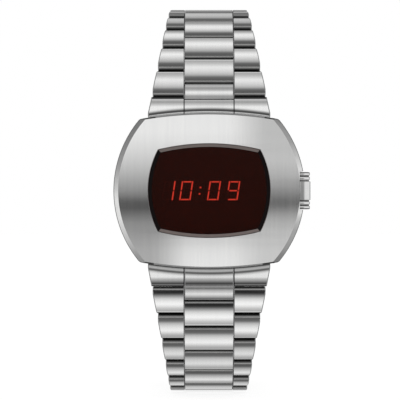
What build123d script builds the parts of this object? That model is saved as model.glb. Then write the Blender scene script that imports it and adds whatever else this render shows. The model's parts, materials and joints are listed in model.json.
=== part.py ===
"""A retro wrist watch with a light-emitting display on a closed steel link bracelet, in millimetres.

Pieces are drawn in the dial frame: X to 3 o'clock, Y to 12 o'clock and Z out of the dial, with the
origin in the middle of the case back's flat. They are written in the part's frame, where +Z points
to 12 o'clock, the dial faces -Y and the wrist lies at +Y.
"""
import os
from math import atan2, cos, degrees, hypot, radians, sin, tan

from build123d import *

overrun = 2.0  # how far a cutting shape runs past what it cuts

# Outlines of four shallow arcs, given as half sizes: middle x, corner x, middle y, corner y
case_outline = (20.4, 14.9, 16.6, 15.3)
window_outline = (13.0, 10.86, 10.0, 8.7)
back_outline = (17.9, 15.4, 12.6, 11.6)

# Outlines of rectangles with cut corners: half width, its flat's half height, and the same for the height
cavity_outline = (15.2, 5.6, 11.4, 9.4)
board_outline = (12.4, 5.6, 9.6, 8.4)

# Sides of what is round but small, from bars that nothing shows to knuckles and the pusher
pin_sides = 6
lug_sides = 20
stem_sides = 16
cap_sides = 28
cell_sides = 24
knuckle_flats = 4  # over the quarter circle of a link's knuckle

# Case body
case_rear = 0.8  # its back edge stands this far in front of the case back's flat
case_waist = 7.0  # here the leaning lower wall turns upright
case_front = 12.3
case_lean = 1.2  # how far the lower wall leans in at the back
case_arch_radius = 70.0
side_bevel = 1.05
end_bevel = 0.35
case_corner_radius = 1.0
ledge_low = 9.4
ledge_high = 10.2
ledge_width = 0.9  # in the middle of each side
ledge_flat_x = 6.0
ledge_flat_y = 3.5

# Crystal and its gasket
crystal_gasket_thickness = 0.3
crystal_front = 13.1
crystal_bevel = 0.7
crystal_fit = 0.05

# Case back, its gasket and screws
back_thickness = 1.8
back_edge_bevel = 0.4
back_fit = 0.05
back_gasket_inner = 0.35
back_gasket_outer = 0.95
back_gasket_groove = 0.5
back_gasket_slack = 0.05
screw_x = 14.6
screw_y = 9.6
screw_hole_radius = 0.58
screw_seat_radius = 0.98
screw_seat_depth = 0.75
screw_hole_end = 3.43  # its blind end above the case back's flat

# Module stack, measured from the case back's flat
battery_strap_low = 2.4
battery_strap_thickness = 0.3
battery_strap_width = 3.4
battery_radius = 8.0
battery_thickness = 2.0
battery_fit = 0.1
battery_step_radius = 6.6
battery_step_height = 0.25
contact_thickness = 0.2
contact_width = 2.4
contact_length = 3.6
board_low = 6.2
board_thickness = 0.8
board_fit = 0.1
holder_fit = 0.15
substrate_half_x = 10.9
substrate_half_y = 3.8
substrate_thickness = 1.2
mask_thickness = 0.5
mask_window_inset = 0.3  # inside each end of the display's strip
mask_window_y = 3.0
holder_window_gap = 0.2  # beside the display's strip
holder_window_y = 6.4
chip_x = 4.0
chip_size = (4.2, 1.8, 1.0)
quartz_x = -3.5
quartz_radius = 0.75
quartz_length = 5.0
trimmer_gap = 0.25  # clear space between the display and the pieces beside it

# Display digits, seen from the front
digit_height = 4.06
digit_width = 2.43
digit_stroke = 0.27
digit_break = 0.12  # half the gap between two bars in a column
digit_slant = 8.5
digit_starts = (0.7, 4.48, 10.43, 14.56)  # from the strip's left end
digit_bars_lit = ("bc", "abcdef", "abcdef", "abcdfg")
segment_thickness = 0.25
colon_start = 8.95
colon_y = 0.68
colon_size = 0.32

# Pusher at 3 o'clock, which slides towards the middle of the case
pusher_height = 6.3  # its axis above the case back's flat
pusher_travel = 0.6
pusher_axis_x = 19.6  # centre of the barrel that its outer face belongs to
pusher_back_x = 19.45
pusher_barrel_radius = 2.25
pusher_half_length = 4.0
pusher_grip_half = 2.0  # half the plain middle stretch
pusher_groove_depth = 0.3
pusher_groove_width = 0.35
pusher_rib_width = 0.6
pusher_end_step = 0.12
recess_gap = 0.15
recess_floor_x = 18.8
notch_x = 19.25
stem_radius = 0.9
stem_fit = 0.07
stem_end_x = 14.35
spring_seat_x = 16.9
spring_radius = 1.4
spring_wall = 0.3
spring_hole_gap = 0.1
gland_x = 16.1
gland_width = 0.5
gland_depth = 0.25
gland_fit = 0.02
clip_thickness = 0.25
clip_radius = 1.6
clip_gap = 0.12
clip_groove_depth = 0.25
leaf_thickness = 0.25
leaf_half_width = 1.0
leaf_foot_gap = 0.5  # between the display's strip and the leaf's foot
leaf_reach = 1.1  # how far the leaf goes past the stem's axis
leaf_gap = 0.05  # between the pressed stem and the switch leaf
leaf_room = 0.3

# Bracelet links. Outer pieces turn about the hinge at their start, centre pieces carry the next one
pitch = 5.9
link_half_thickness = 1.4
link_crown = 0.5  # how far the top falls from its middle to its ends
wall_gap = 0.15
centre_half_width = 5.3
side_play = 0.1
bracelet_half_width = 8.5
taper_width = 3.6  # how much wider each side is at the case
taper_links = 6
pin_radius = 0.5
pin_fit = 0.05

# Where the bracelet leaves the case and how each link leans back from it, in degrees
hinge_height = 7.6
upper_hinge_y = 21.4
lower_hinge_y = 21.95
upper_tilt = 12
lower_tilt = 6
upper_angles = (22, 35, 48, 63, 78, 92, 108, 124, 140, 156, 170)
lower_angles = (14, 26, 40, 54, 68, 84, 100, 116, 132, 148, 164, 176)

# End links and the spring bars that hold them
end_link_half_width = 13.1
end_link_tip_half_width = 12.4
end_link_gap = 0.25
end_link_root_y = 13.7
end_link_root_low = 2.4
end_link_root_high = 8.7
end_link_front = 9.9
end_link_heel_y = 17.0
end_link_fit = 0.2
end_link_groove = 0.2
end_link_groove_depth = 0.35
tongue_root = 2.2
tongue_crown = 0.2
spring_bar_y = 15.0
spring_bar_height = 5.6
spring_bar_radius = 0.75
spring_bar_fit = 0.05
spring_bar_reach = 0.9

# Clasp. It runs from the lower chain's last hinge to the upper chain's, wrist side up
cover_wall = 0.9
cover_plate_drop = 2.5
cover_rise = 0.6
cover_end_back = 2.8  # the plate stops this far before the cover hinge
cover_edge_bevel = 0.3
cover_lug_radius = 1.3
cover_lug_length = 2.4
cover_nose_radius = 1.1
cover_pivot_back = 2.5
cover_pivot_drop = 0.5
fold_pivot_in = 3.7
fold_pivot_rise = 0.1
knuckle_radius = 0.9
knuckle_gap = 0.15
fold_knuckle_half = 2.4
fold_play = 0.1
blade_thickness = 0.7
blade_half_width = 5.0
blade_outer_low = 1.3
blade_inner_low = 0.2
blade_inner_half_width = 7.3
blade_neck_length = 2.6
blade_open_back = 6.0
arm_lug_radius = 1.15
arm_bottom = 0.3
arm_step_back = 0.8
arm_slope = 0.8
arm_rise_length = 1.6
lug_play = 0.15
bar_end_sink = 0.15
bar_end_wall = 0.15
press_fit = 0.02
button_y = 12.0
button_length = 3.6
button_height = 1.1
button_drop = 0.4
button_proud = 0.5
button_travel = 0.4
button_flange = 0.25
button_flange_thickness = 0.2
button_fit = 0.05
button_notch_gap = 0.25

inner_face_x = centre_half_width + side_play
leaf_foot_x = substrate_half_x + leaf_foot_gap
wall_edge = link_half_thickness - link_crown
wall_reach = link_half_thickness + wall_gap


def pillow(outline, grow=0):
    """Face of four shallow arcs, made larger all round by grow."""
    mid_x, corner_x, mid_y, corner_y = (size + grow for size in outline)
    return make_face([
        ThreePointArc((-corner_x, corner_y), (0, mid_y), (corner_x, corner_y)),
        ThreePointArc((corner_x, corner_y), (mid_x, 0), (corner_x, -corner_y)),
        ThreePointArc((corner_x, -corner_y), (0, -mid_y), (-corner_x, -corner_y)),
        ThreePointArc((-corner_x, -corner_y), (-mid_x, 0), (-corner_x, corner_y)),
    ])


def plate(outline, low, high, grow=0):
    """Flat piece with a pillow outline between two heights."""
    return Pos(0, 0, low) * extrude(pillow(outline, grow), high - low)


def cut_plate(outline, low, high, grow=0):
    """Flat piece with cut corners between two heights, made larger all round by grow."""
    half_x, flat_y, half_y, flat_x = outline
    corners = [(half_x, flat_y), (flat_x, half_y), (-flat_x, half_y), (-half_x, flat_y)]
    corners += [(-x, -y) for x, y in corners]
    face = make_face(Polyline(*corners, close=True).edges())
    if grow:
        face = offset(face, grow, kind=Kind.INTERSECTION)
    return Pos(0, 0, low) * extrude(face, high - low)


def ledge_hole(low, high):
    """Opening with cut corners inside the crystal's ledge."""
    half_x = window_outline[0] - ledge_width
    half_y = window_outline[2] - ledge_width
    return cut_plate((half_x, ledge_flat_y, half_y, ledge_flat_x), low, high)


def block(x_low, x_high, y_low, y_high, z_low, z_high):
    """Box between two corners."""
    centre = Pos((x_low + x_high) / 2, (y_low + y_high) / 2, (z_low + z_high) / 2)
    return centre * Box(x_high - x_low, y_high - y_low, z_high - z_low)


def round_bar(radius, length, sides, bore=False):
    """Bar along Z with this many sides. Its corners touch the circle, or its flats do in a bore."""
    face = RegularPolygon(radius, sides, major_radius=not bore)
    return Pos(0, 0, -length / 2) * extrude(face, length)


def rod_x(radius, x_low, x_high, y, z, sides, bore=False):
    """Bar across the watch."""
    bar = round_bar(radius, x_high - x_low, sides, bore)
    return Pos((x_low + x_high) / 2, y, z) * Rot(0, 90, 0) * bar


def rod_z(radius, x, y, z_low, z_high, sides, bore=False):
    """Bar through the watch, from back to front."""
    bar = round_bar(radius, z_high - z_low, sides, bore)
    return Pos(x, y, (z_low + z_high) / 2) * bar


def side_view(edges, x_low, x_high):
    """Solid with an outline drawn in the YZ plane, between two places across the watch."""
    return Pos(x_low, 0, 0) * extrude(Plane.YZ * make_face(edges), x_high - x_low)


def side_polygon(points, x_low, x_high):
    """Solid with a straight-edged outline in the YZ plane."""
    return side_view(Polyline(*points, close=True).edges(), x_low, x_high)


def both_sides(piece):
    """The piece and its mirror image across the middle of the watch."""
    return piece + mirror(piece, about=Plane.YZ)


def write(name, *pieces):
    """Turn one sub-part from the dial frame to the part's frame and write it."""
    solids = [solid for piece in pieces for solid in piece.solids()]
    shape = solids[0] if len(solids) == 1 else Compound(solids)
    export_step(Rot(90, 0, 0) * shape, f"parts/{name}.step")


def front_edges(body, beside):
    """Edges round the arched front, either those at the two sides or those at the two ends."""
    rim = body.faces().sort_by(Axis.Z)[-1].outer_wire().edges()
    return [edge for edge in rim if (abs(edge.center().X) > abs(edge.center().Y)) == beside]


def case_blank():
    """Arched pillow with leaning lower walls, bevelled round its front, and rounded corners."""
    depth = case_waist - case_rear
    lean = degrees(atan2(case_lean, depth))
    lower = Pos(0, 0, case_waist) * extrude(pillow(case_outline), depth, taper=lean)
    blank = lower + plate(case_outline, case_waist, case_front + overrun)
    width = 2 * (case_outline[0] + overrun)
    arch = Rot(0, 90, 0) * Cylinder(case_arch_radius, width)
    blank &= Pos(0, 0, case_front - case_arch_radius) * arch
    blank = chamfer(front_edges(blank, True), side_bevel)
    blank = chamfer(front_edges(blank, False), end_bevel)
    outline = pillow(case_outline)
    rounded = fillet(outline.vertices(), case_corner_radius)
    return blank & extrude(rounded, case_front + overrun)


def end_pocket():
    """Room at 12 o'clock for an end link's root, under the front lip and open to the back."""
    half = end_link_half_width + end_link_fit
    low_y = end_link_root_y - end_link_gap
    return block(-half, half, low_y, case_outline[2] + overrun, -overrun, end_link_root_high + end_link_gap)


def pusher_bores():
    """Recess and notch in the case's side, spring hole and stem bore."""
    half = pusher_half_length + recess_gap
    low = pusher_height - pusher_barrel_radius - recess_gap
    high = pusher_height + pusher_barrel_radius + recess_gap
    outside = case_outline[0] + overrun
    cut = block(recess_floor_x, outside, -half, half, low, high)
    cut += block(notch_x, outside, -half, half, low, case_front + overrun)
    hole_radius = spring_radius + spring_hole_gap
    cut += rod_x(hole_radius, spring_seat_x, recess_floor_x + overrun, 0, pusher_height, stem_sides, True)
    inside = cavity_outline[0] - overrun
    stem_bore = stem_radius + stem_fit
    return cut + rod_x(stem_bore, inside, spring_seat_x + overrun, 0, pusher_height, stem_sides, True)


def screw_places():
    """The four corner screws."""
    return [Pos(x, y, 0) for x in (-screw_x, screw_x) for y in (-screw_y, screw_y)]


def case_body():
    """Steel shell: window and ledge, module cavity, back seat, end pockets and pusher bores."""
    body = case_blank()
    body -= plate(window_outline, ledge_high, case_front + overrun)
    body -= ledge_hole(ledge_low - overrun, ledge_high + overrun)
    body -= cut_plate(cavity_outline, case_rear - overrun, ledge_low)
    body -= plate(back_outline, case_rear - overrun, back_thickness, back_fit)
    groove_high = back_thickness + back_gasket_groove
    groove = cut_plate(cavity_outline, back_thickness, groove_high, back_gasket_outer)
    body -= groove - cut_plate(cavity_outline, back_thickness, groove_high, back_gasket_inner)
    pocket = end_pocket()
    bar_half = end_link_half_width + end_link_fit + spring_bar_reach
    bar_bore = spring_bar_radius + spring_bar_fit
    bar = rod_x(bar_bore, -bar_half, bar_half, spring_bar_y, spring_bar_height, pin_sides, True)
    for turn in (Rot(0, 0, 0), Rot(0, 0, 180)):
        body -= turn * pocket
        body -= turn * bar
    body -= pusher_bores()
    for place in screw_places():
        body -= place * rod_z(screw_hole_radius, 0, 0, 0, screw_hole_end, pin_sides, True)
    return body


def crystal():
    """Dark window, bevelled round its front and standing a little proud of the case."""
    low = ledge_high + crystal_gasket_thickness
    glass = plate(window_outline, low, crystal_front, -crystal_fit)
    rim = glass.faces().sort_by(Axis.Z)[-1].edges()
    return chamfer(rim, crystal_bevel)


def crystal_gasket():
    """Flat ring between the crystal and its ledge."""
    high = ledge_high + crystal_gasket_thickness
    ring = plate(window_outline, ledge_high, high, -crystal_fit)
    return ring - ledge_hole(ledge_high, high)


def display_mask():
    """Black frame that hides the module and leaves the digits open."""
    low = ledge_low - mask_thickness
    frame = cut_plate(cavity_outline, low, ledge_low, -holder_fit) - clip_room()
    window_x = substrate_half_x - mask_window_inset
    return frame - block(-window_x, window_x, -mask_window_y, mask_window_y, low, ledge_low)


def clip_room():
    """Space in the module for the retaining clip and the switch leaf."""
    half = clip_radius + leaf_room
    outside = cavity_outline[0] + overrun
    return block(board_outline[0], outside, -half, half, pusher_height - half, pusher_height + half)


def module_holder():
    """Moulded ring that fills the cavity and steps in over the circuit board."""
    board_high = board_low + board_thickness
    high = ledge_low - mask_thickness
    holder = cut_plate(cavity_outline, back_thickness, high, -holder_fit)
    holder -= cut_plate(board_outline, back_thickness, board_high, board_fit)
    window_x = substrate_half_x + holder_window_gap
    holder -= block(-window_x, window_x, -holder_window_y, holder_window_y, board_high, high)
    outside = cavity_outline[0] + overrun
    foot_half = leaf_half_width + leaf_room
    foot_high = board_high + leaf_thickness + leaf_room
    holder -= block(leaf_foot_x - leaf_room, outside, -foot_half, foot_half, board_high, foot_high)
    return holder - clip_room()


def circuit_board():
    """Board that carries the display in front and the cell contact behind."""
    return cut_plate(board_outline, board_low, board_low + board_thickness)


def led_substrate():
    """Ceramic strip under the digits."""
    low = board_low + board_thickness
    return block(
        -substrate_half_x, substrate_half_x, -substrate_half_y, substrate_half_y, low, low + substrate_thickness
    )


def slanted_bar(left, x_low, x_high, y_low, y_high):
    """One bar of a digit, leaning with the figures."""
    lean = tan(radians(digit_slant))
    bottom = left + (y_low + digit_height / 2) * lean
    top = left + (y_high + digit_height / 2) * lean
    corners = [
        (bottom + x_low, y_low), (bottom + x_high, y_low), (top + x_high, y_high), (top + x_low, y_high),
    ]
    low = board_low + board_thickness + substrate_thickness
    return Pos(0, 0, low) * extrude(make_face(Polyline(*corners, close=True).edges()), segment_thickness)


def digit_bar(left, name):
    """Bar a to g of one digit: a on top, then clockwise, g across the middle."""
    half = digit_height / 2
    near = digit_width - digit_stroke
    inner_low = digit_stroke + digit_break
    inner_high = near - digit_break
    columns = {"b": (near, 1), "c": (near, -1), "e": (0, -1), "f": (0, 1)}
    rows = {"a": half - digit_stroke, "d": -half, "g": -digit_stroke / 2}
    if name in rows:
        low = rows[name]
        return slanted_bar(left, inner_low, inner_high, low, low + digit_stroke)
    x_low, side = columns[name]
    ends = sorted((side * digit_break, side * half))
    return slanted_bar(left, x_low, x_low + digit_stroke, *ends)


def digit_segments(lit):
    """All bars that shine, with the colon, or all that stay dark."""
    bars = []
    for start, shining in zip(digit_starts, digit_bars_lit):
        left = start - substrate_half_x
        bars += [digit_bar(left, name) for name in "abcdefg" if (name in shining) == lit]
    if lit:
        low = board_low + board_thickness + substrate_thickness
        half = colon_size / 2
        for y in (-colon_y, colon_y):
            lean = y * tan(radians(digit_slant))
            dot = block(-half, half, -half, half, low, low + segment_thickness)
            bars.append(Pos(colon_start - substrate_half_x + lean, y, 0) * dot)
    return bars


def driver_chip():
    """Circuit that drives the display, above the digits."""
    length, width, height = chip_size
    low = board_low + board_thickness
    low_y = substrate_half_y + trimmer_gap
    return block(chip_x - length / 2, chip_x + length / 2, low_y, low_y + width, low, low + height)


def quartz_can():
    """Crystal oscillator in its round can, below the digits."""
    centre_y = -substrate_half_y - trimmer_gap - quartz_radius
    centre_z = board_low + board_thickness + quartz_radius
    half = quartz_length / 2
    return rod_x(quartz_radius, quartz_x - half, quartz_x + half, centre_y, centre_z, stem_sides, True)


def battery_holder():
    """Moulded filler with the cell's round seat."""
    low = battery_strap_low + battery_strap_thickness
    holder = cut_plate(board_outline, low, board_low)
    return holder - rod_z(battery_radius + battery_fit, 0, 0, low, board_low, cell_sides, True)


def battery():
    """Coin cell, its smaller pole towards the circuit board."""
    low = battery_strap_low + battery_strap_thickness
    shoulder = low + battery_thickness - battery_step_height
    cell = rod_z(battery_radius, 0, 0, low, shoulder, cell_sides)
    return cell + rod_z(battery_step_radius, 0, 0, shoulder, low + battery_thickness, cell_sides)


def battery_strap():
    """Spring strip across the back of the cell."""
    half_x = board_outline[0] - battery_fit
    half_y = battery_strap_width / 2
    high = battery_strap_low + battery_strap_thickness
    return block(-half_x, half_x, -half_y, half_y, battery_strap_low, high)


def battery_contact():
    """Bent leaf from the circuit board to the cell's inner pole."""
    cell_high = battery_strap_low + battery_strap_thickness + battery_thickness
    half = contact_width / 2
    leaf = block(0, contact_length, -half, half, board_low - contact_thickness, board_low)
    leaf += block(contact_length - contact_thickness, contact_length, -half, half, cell_high, board_low)
    leaf += block(0, contact_length, -half, half, cell_high, cell_high + contact_thickness)
    return leaf


def case_back():
    """Flat plate on the wrist side, bevelled round its edge, with sunk screw seats."""
    back = plate(back_outline, 0, back_thickness)
    rim = back.faces().sort_by(Axis.Z)[0].edges()
    back = chamfer(rim, back_edge_bevel)
    for place in screw_places():
        back -= place * rod_z(screw_hole_radius, 0, 0, 0, back_thickness, pin_sides, True)
        back -= place * rod_z(screw_seat_radius, 0, 0, 0, screw_seat_depth, lug_sides, True)
    return back


def case_back_gasket():
    """Ring in the case's groove, closed by the case back."""
    high = back_thickness + back_gasket_groove - back_gasket_slack
    ring = cut_plate(cavity_outline, back_thickness, high, back_gasket_outer - back_gasket_slack)
    return ring - cut_plate(cavity_outline, back_thickness, high, back_gasket_inner + back_gasket_slack)


def pusher_cap():
    """Half barrel, plain in the middle and grooved twice towards each end."""
    groove_radius = pusher_barrel_radius - pusher_groove_depth
    rib_radius = pusher_barrel_radius - pusher_end_step
    stretches = [
        (pusher_groove_width, groove_radius),
        (pusher_rib_width, rib_radius),
        (pusher_groove_width, groove_radius),
    ]
    cap = round_bar(pusher_barrel_radius, 2 * pusher_grip_half, cap_sides)
    z = pusher_grip_half
    for width, radius in stretches:
        band = round_bar(radius, width, cap_sides)
        cap += Pos(0, 0, z + width / 2) * band
        cap += Pos(0, 0, -z - width / 2) * band
        z += width
    end = round_bar(rib_radius, pusher_half_length - z, cap_sides)
    end_z = (pusher_half_length + z) / 2
    cap += Pos(0, 0, end_z) * end
    cap += Pos(0, 0, -end_z) * end
    cap = Pos(pusher_axis_x, 0, pusher_height) * Rot(90, 0, 0) * cap
    half = pusher_half_length + overrun
    behind = block(
        pusher_axis_x - pusher_barrel_radius - overrun, pusher_back_x, -half, half,
        0, pusher_height + pusher_barrel_radius + overrun,
    )
    return cap - behind


def clip_inner_x():
    """Inner end of the retaining clip's groove in the stem."""
    return cavity_outline[0] - clip_gap - clip_thickness


def pusher():
    """Cap and stem, with a seal groove and a clip groove."""
    low = clip_inner_x()
    high = low + clip_thickness
    stretches = [
        (stem_end_x, low, stem_radius),
        (low, high, stem_radius - clip_groove_depth),
        (high, gland_x, stem_radius),
        (gland_x, gland_x + gland_width, stem_radius - gland_depth),
        (gland_x + gland_width, pusher_axis_x, stem_radius),
    ]
    button = pusher_cap()
    for start, end, radius in stretches:
        button += rod_x(radius, start, end, 0, pusher_height, stem_sides)
    return button


def pusher_gasket():
    """Seal ring in the stem's groove."""
    high = gland_x + gland_width
    ring = rod_x(stem_radius + stem_fit - gland_fit, gland_x, high, 0, pusher_height, stem_sides)
    return ring - rod_x(stem_radius - gland_depth, gland_x, high, 0, pusher_height, stem_sides)


def pusher_clip():
    """Retaining ring that stops the stem on the case's inner wall."""
    low = clip_inner_x()
    high = low + clip_thickness
    ring = rod_x(clip_radius, low, high, 0, pusher_height, stem_sides)
    return ring - rod_x(stem_radius - clip_groove_depth, low, high, 0, pusher_height, stem_sides)


def pusher_spring():
    """Envelope of the coil round the stem, from its hole's floor to the cap."""
    sleeve = rod_x(spring_radius, spring_seat_x, pusher_back_x, 0, pusher_height, stem_sides)
    inner = spring_radius - spring_wall
    return sleeve - rod_x(inner, spring_seat_x, pusher_back_x, 0, pusher_height, stem_sides)


def switch_leaf():
    """Contact leaf that the pressed stem reaches."""
    riser_high = stem_end_x - pusher_travel - leaf_gap
    riser_low = riser_high - leaf_thickness
    board_high = board_low + board_thickness
    half = leaf_half_width
    leaf = block(leaf_foot_x, riser_high, -half, half, board_high, board_high + leaf_thickness)
    low = pusher_height - leaf_reach
    return leaf + block(riser_low, riser_high, -half, half, low, board_high + leaf_thickness)


def hinge_frame(hinge_y, angle):
    """Place of a link on the upper side: its hinge, and its lean back from 12 o'clock."""
    return Pos(0, hinge_y, hinge_height) * Rot(-angle, 0, 0)


def end_link(hinge_y, tilt):
    """Block that fills the gap between case and bracelet, with the first hinge's tongue."""
    lean = radians(tilt)
    wall_y = hinge_y - wall_reach * cos(lean)
    wall_z = hinge_height + wall_reach * sin(lean)
    wall_top = (wall_y + wall_edge * sin(lean), wall_z + wall_edge * cos(lean))
    wall_bottom = (wall_y - link_half_thickness * sin(lean), wall_z - link_half_thickness * cos(lean))
    outline = [
        (end_link_root_y, end_link_root_low),
        (end_link_root_y, end_link_front),
        wall_top,
        wall_bottom,
        (end_link_heel_y, end_link_root_low),
    ]
    half = end_link_half_width
    body = side_polygon(outline, -half, half)
    body -= plate(case_outline, end_link_root_high, case_front, end_link_gap)
    plan = Polyline(
        (-half, 0), (-half, case_outline[2]), (-end_link_tip_half_width, wall_y),
        (-end_link_tip_half_width, hinge_y), (end_link_tip_half_width, hinge_y),
        (end_link_tip_half_width, wall_y), (half, case_outline[2]), (half, 0), close=True,
    )
    body &= extrude(make_face(plan.edges()), case_front)
    frame = hinge_frame(hinge_y, tilt)
    groove = end_link_groove / 2
    cutter = block(
        inner_face_x - groove, inner_face_x + groove, -hinge_y, -link_half_thickness,
        wall_edge - end_link_groove_depth, wall_edge + overrun,
    )
    body -= frame * both_sides(cutter)
    body += frame * tongue()
    reach = half + overrun
    bar_bore = spring_bar_radius + spring_bar_fit
    return body - rod_x(bar_bore, -reach, reach, spring_bar_y, spring_bar_height, pin_sides, True)


def knuckle(side):
    """Points round a hinge, from straight below it to level with it on one side."""
    turns = [radians(90 * step / knuckle_flats) for step in range(knuckle_flats + 1)]
    return [(side * link_half_thickness * sin(turn), -link_half_thickness * cos(turn)) for turn in turns]


def tongue():
    """Centre piece of the end link, round about the first hinge on its wrist side."""
    radius = link_half_thickness
    straight = [(-tongue_root, wall_edge), (-tongue_root, -radius), *knuckle(1), (radius, wall_edge)]
    crown = ((radius - tongue_root) / 2, wall_edge + tongue_crown)
    edges = Polyline(*straight).edges() + ThreePointArc(straight[-1], crown, straight[0]).edges()
    piece = side_view(edges, -centre_half_width, centre_half_width)
    return piece - rod_x(pin_radius + pin_fit, -inner_face_x, inner_face_x, 0, 0, pin_sides, True)


def end_link_bars():
    """Two spring bars, from lug to lug through the end links' roots."""
    half = end_link_half_width + end_link_fit + spring_bar_reach - spring_bar_fit
    bar = rod_x(spring_bar_radius, -half, half, spring_bar_y, spring_bar_height, pin_sides)
    return [bar, Rot(0, 0, 180) * bar]


def link_outline():
    """Side view of an outer piece: hinge at the origin, round below it, crowned on top."""
    radius = link_half_thickness
    far = pitch - wall_reach
    straight = [(far, wall_edge), (far, -radius), *knuckle(-1), (-radius, wall_edge)]
    crown = ((far - radius) / 2, radius)
    return Polyline(*straight).edges() + ThreePointArc(straight[-1], crown, straight[0]).edges()


def half_width_at(link_count):
    """Half width of the bracelet, this many links away from the case."""
    left = max(0, 1 - link_count / taper_links)
    return bracelet_half_width + taper_width * left**2


def outer_piece(number):
    """Outer piece of one link, on the 3 o'clock side, narrowing away from the case."""
    start_width = half_width_at(number - 1)
    end_width = half_width_at(number)
    piece = side_view(link_outline(), inner_face_x, start_width)
    if start_width > end_width:
        slope = (start_width - end_width) / pitch
        low_y = -link_half_thickness - overrun
        high_y = pitch + overrun
        corners = [
            (inner_face_x, low_y), (start_width - slope * low_y, low_y),
            (start_width - slope * high_y, high_y), (inner_face_x, high_y),
        ]
        plan = extrude(make_face(Polyline(*corners, close=True).edges()), 2 * overrun, both=True)
        piece &= plan
    return piece


def link(number):
    """One link: two outer pieces, the pin between them, and the centre piece with the next bore."""
    outer = outer_piece(number)
    centre = side_view(link_outline(), -centre_half_width, centre_half_width)
    centre = Pos(0, pitch, 0) * mirror(centre, about=Plane.XZ)
    centre -= rod_x(pin_radius + pin_fit, -inner_face_x, inner_face_x, pitch, 0, pin_sides, True)
    pin = rod_x(pin_radius, -inner_face_x, inner_face_x, 0, 0, pin_sides)
    return [outer, mirror(outer, about=Plane.YZ), centre, pin]


def chain(hinge_y, angles):
    """Hinge of each link and the free end's, as distance from the middle and height."""
    hinges = [(hinge_y, hinge_height)]
    for angle in angles:
        y, z = hinges[-1]
        lean = radians(angle)
        hinges.append((y + pitch * cos(lean), z - pitch * sin(lean)))
    return hinges


def write_chain(name, hinge_y, angles, turn):
    """Write every link of one half of the bracelet."""
    hinges = chain(hinge_y, angles)
    for number, angle in enumerate(angles, start=1):
        y, z = hinges[number - 1]
        place = turn * Pos(0, y, z) * Rot(-angle, 0, 0)
        write(f"{name}_{number:02d}", *[place * piece for piece in link(number)])
    return hinges[-1]


def clasp_cover(span, cover_pivot):
    """Channel that folds over the blades, with lugs at the lower chain and the hinge's noses."""
    pivot_y, pivot_z = cover_pivot
    half = bracelet_half_width
    inside = half - cover_wall
    low = -cover_plate_drop
    inner = low + cover_wall
    cover = block(-half, half, 0, pivot_y - cover_end_back, low, inner)
    long_edges = cover.edges().filter_by(Axis.Y).group_by(Axis.Z)[0]
    cover = chamfer(long_edges, cover_edge_bevel)
    wall = block(inside, half, 0, pivot_y, inner - cover_wall / 2, cover_rise)
    wall += rod_x(cover_nose_radius, inside, half, pivot_y, pivot_z, lug_sides)
    wall += rod_x(cover_lug_radius, inside, half, 0, 0, lug_sides)
    corner = half - cover_edge_bevel
    wall -= block(corner, half + overrun, -overrun, pivot_y, low, inner - cover_wall / 3)
    lug_inner = centre_half_width + lug_play
    wall += block(lug_inner, inside, 0, cover_lug_length, inner - cover_wall / 2, cover_rise)
    wall += rod_x(cover_lug_radius, lug_inner, inside, 0, 0, lug_sides)
    button = Pos(0, button_y, -button_drop) * button_bar(inside - overrun, half + overrun, button_fit)
    cover += both_sides(wall - button)
    pin_hole = pin_radius + press_fit
    reach = inside + pin_fit
    cover -= rod_x(pin_hole, -reach, reach, 0, 0, pin_sides, True)
    reach = half - cover_wall / 4
    return cover - rod_x(pin_hole, -reach, reach, pivot_y, pivot_z, pin_sides, True)


def button_bar(x_low, x_high, grow=0):
    """Bar with a rounded-end outline, across the clasp's side wall."""
    slot = SlotOverall(button_length + 2 * grow, button_height + 2 * grow)
    return Pos(x_low, 0, 0) * extrude(Plane.YZ * slot, x_high - x_low)


def release_button():
    """Sprung button on the 3 o'clock side, kept in by its flange."""
    wall_inner = bracelet_half_width - cover_wall
    flange_high = wall_inner - button_fit
    flange_low = flange_high - button_flange_thickness
    button = button_bar(flange_low, bracelet_half_width + button_proud)
    half_length = button_length / 2 + button_flange
    half_height = button_height / 2 + button_flange
    button += block(flange_low, flange_high, -half_length, half_length, -half_height, half_height)
    return Pos(0, button_y, -button_drop) * button


def blade_outer(cover_pivot, fold_pivot):
    """Middle blade of the fold, from the cover hinge back to the fold hinge."""
    pivot_y, pivot_z = cover_pivot
    fold_y, fold_z = fold_pivot
    low = -blade_outer_low
    high = low + blade_thickness
    shoulder = fold_y + knuckle_radius + 2 * knuckle_gap
    blade = block(-blade_half_width, blade_half_width, shoulder, pivot_y, low, high)
    blade += rod_x(knuckle_radius, -blade_half_width, blade_half_width, pivot_y, pivot_z, lug_sides)
    blade += block(-fold_knuckle_half, fold_knuckle_half, fold_y, shoulder + knuckle_gap, low, high)
    blade += rod_x(knuckle_radius, -fold_knuckle_half, fold_knuckle_half, fold_y, fold_z, lug_sides)
    reach = blade_half_width + overrun
    blade -= rod_x(pin_radius + pin_fit, -reach, reach, pivot_y, pivot_z, pin_sides, True)
    return blade - rod_x(pin_radius + press_fit, -reach, reach, fold_y, fold_z, pin_sides, True)


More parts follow.
